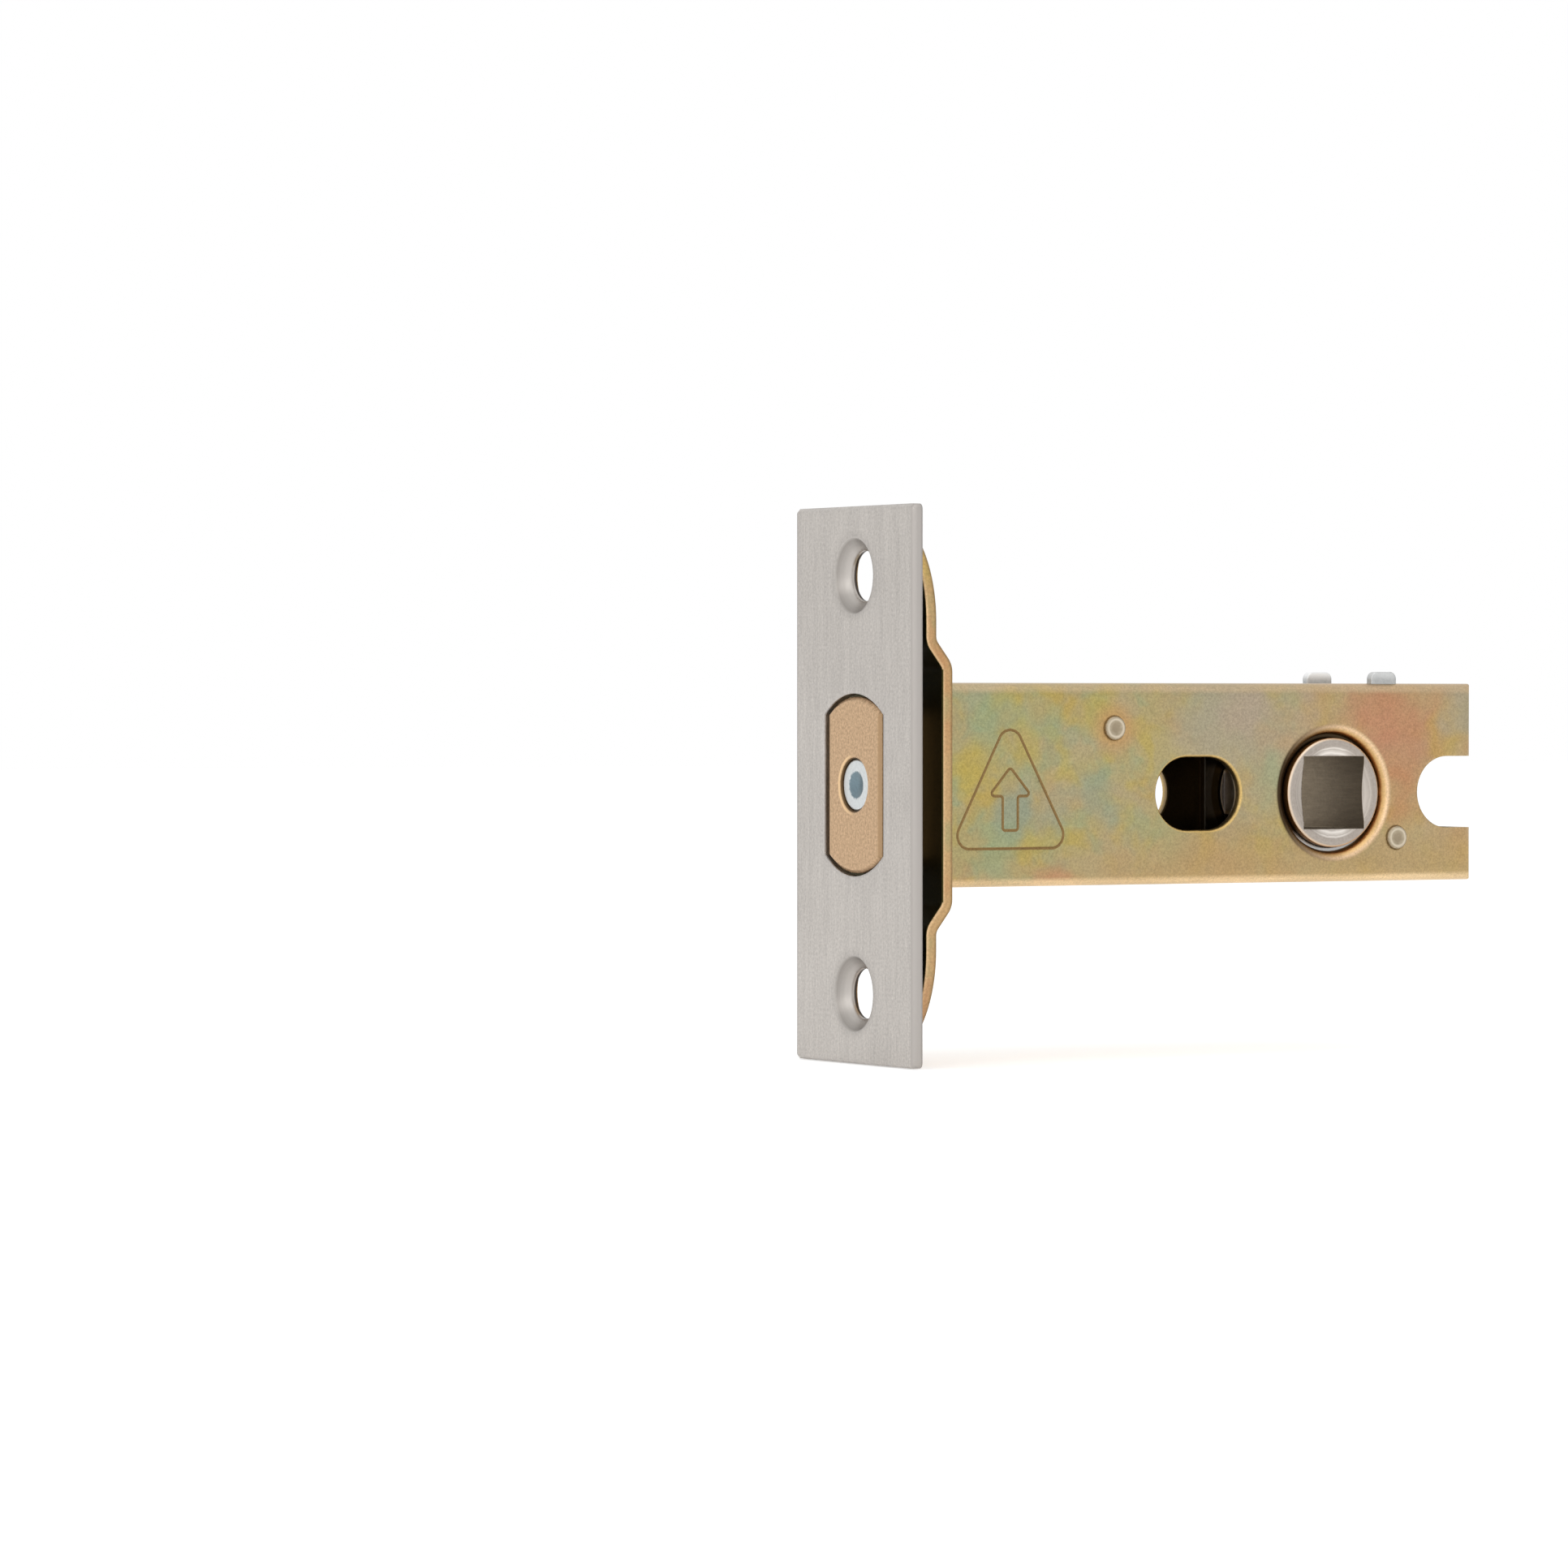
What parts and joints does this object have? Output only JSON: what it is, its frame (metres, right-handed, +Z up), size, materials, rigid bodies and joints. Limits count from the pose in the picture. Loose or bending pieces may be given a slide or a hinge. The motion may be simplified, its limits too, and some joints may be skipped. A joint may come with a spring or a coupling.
{
  "type": "tubular deadbolt",
  "caption": "Tubular mortice deadbolt: flat forend, pressed case, round brass bolt with two flats, and a square follower that throws the bolt through a quarter turn.",
  "frame": {"origin": "centre of the bolt on the front face of the forend, which is flush with the door edge", "axes": "+X into the door along the case, +Y across the case to the left side seen from the door edge, +Z up"},
  "size_m": [0.076, 0.025, 0.06],
  "materials": {
    "satin_steel": "satin stainless, brushed along its length",
    "yellow_zinc": "yellow passivated zinc plate with iridescent patches",
    "plain_steel": "plain steel, rough cut ends",
    "bright_zinc": "bright zinc plate",
    "spring_steel": "oiled spring steel",
    "brass": "matt brass",
    "hardened_pin": "plated hardened steel",
    "nickel": "dull nickel plate"
  },
  "bodies": {
    "case": {"forend_plate": "satin_steel", "inner_forend": "yellow_zinc", "case_right_half": "yellow_zinc", "case_left_half": "yellow_zinc", "front_case_rivet": "plain_steel", "rear_case_rivet": "plain_steel", "right_bearing_plate": "bright_zinc", "left_bearing_plate": "bright_zinc", "detent_spring": "spring_steel"},
    "bolt": {"bolt_head": "brass", "anti_saw_pin": "hardened_pin", "bolt_tail": "plain_steel", "upper_tail_rivet": "plain_steel", "lower_tail_rivet": "plain_steel"},
    "follower": {"follower": "nickel"}
  },
  "joints": [
    {"name": "follower_turn", "type": "hinge", "parent": "case", "child": "follower", "pos_m": [0.057, 0, -0.0011], "axis": [0, -1, 0], "range_deg": [0, 90], "deforming": ["detent_spring"]},
    {"name": "bolt_throw", "type": "slide", "parent": "case", "child": "bolt", "axis": [-1, 0, 0], "range_m": [0, 0.012]}
  ],
  "couplings": [
    {"joint": "follower_turn", "follows": "bolt_throw", "rad_per_m": 130.9}
  ]
}
